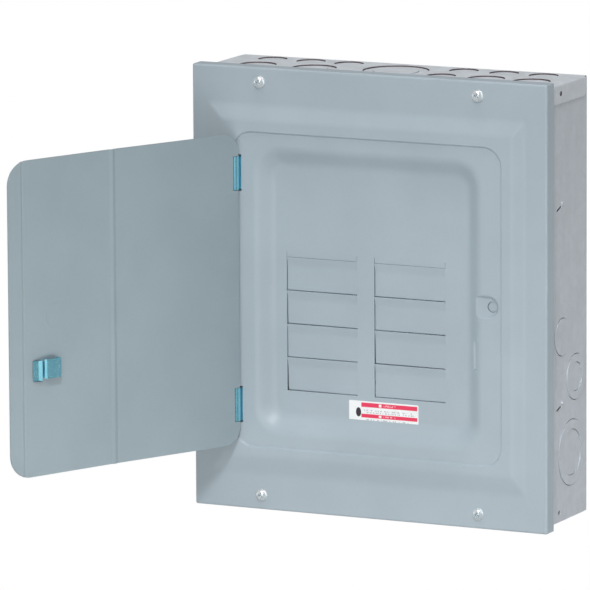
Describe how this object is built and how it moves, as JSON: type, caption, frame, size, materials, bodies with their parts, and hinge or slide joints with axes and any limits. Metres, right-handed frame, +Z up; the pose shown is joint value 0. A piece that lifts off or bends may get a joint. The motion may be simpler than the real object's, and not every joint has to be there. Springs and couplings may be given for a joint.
{
  "type": "load center",
  "caption": "Surface-mounted load center: galvanized box with knockouts, plug-on bus and neutral bar, drawn painted cover with twist-out blanks, and a left-hinged latching door.",
  "frame": {"origin": "middle of the back wall's outer face, where the box meets the wall", "axes": "+Y points into the wall, so the cover faces -Y; +X is to the right and +Z up as mounted"},
  "size_m": [0.3416, 0.2848, 0.336],
  "materials": {
    "galvanized": "spangled zinc coating",
    "zinc_plate": "bright zinc plate",
    "cover_paint": "satin grey baked enamel",
    "door_paint": "satin grey baked enamel",
    "insulator": "moulded black",
    "bus_metal": "tin plated",
    "lug_metal": "extruded",
    "screw_steel": "zinc plated",
    "bond_green": "green dyed zinc",
    "label": "printed film, red bands",
    "spring_steel": "music wire"
  },
  "bodies": {
    "case": {"case_wrapper": "galvanized", "top_end_wall": "galvanized", "bottom_end_wall": "galvanized", "knockouts_top": "galvanized", "knockouts_bottom": "galvanized", "knockouts_left": "galvanized", "knockouts_right": "galvanized", "interior_support": "galvanized", "interior_screws": "screw_steel", "hook_rail_left": "galvanized", "hook_rail_right": "galvanized", "bus_insulator": "insulator", "bus_bar_a": "bus_metal", "bus_bar_b": "bus_metal", "line_lug_a": "lug_metal", "line_lug_b": "lug_metal", "lug_set_screws": "screw_steel", "neutral_bar": "lug_metal", "neutral_screws": "screw_steel", "bonding_screw": "bond_green", "neutral_posts": "insulator", "neutral_lug": "lug_metal", "neutral_lug_screw": "screw_steel"},
    "trim": {"cover": "cover_paint", "cover_knockout": "cover_paint", "twistout_left_1": "cover_paint", "twistout_right_1": "cover_paint", "twistout_left_2": "cover_paint", "twistout_right_2": "cover_paint", "twistout_left_3": "cover_paint", "twistout_right_3": "cover_paint", "twistout_left_4": "cover_paint", "twistout_right_4": "cover_paint", "cover_screws": "zinc_plate", "warning_label": "label", "hinge_leaf_upper": "zinc_plate", "hinge_leaf_lower": "zinc_plate", "hinge_pin_upper": "zinc_plate", "hinge_pin_lower": "zinc_plate"},
    "door": {"door": "door_paint", "door_knockout": "door_paint", "latch_housing": "zinc_plate", "latch_spring": "spring_steel"},
    "latch": {"latch_bolt": "zinc_plate"}
  },
  "joints": [
    {"name": "trim_lift", "type": "slide", "parent": "case", "child": "trim", "axis": [0, -1, 0], "range_m": [0, 0.15]},
    {"name": "door_swing", "type": "hinge", "parent": "trim", "child": "door", "pos_m": [-0.107, -0.0885, 0], "axis": [0, 0, -1], "range_deg": [-115, 55]},
    {"name": "latch_slide", "type": "slide", "parent": "door", "child": "latch", "axis": [-0.4226, -0.9063, 0], "range_m": [-0.005, 0], "stiffness_N_per_m": 300, "springref_m": 0.002, "deforming": ["latch_spring"]}
  ]
}
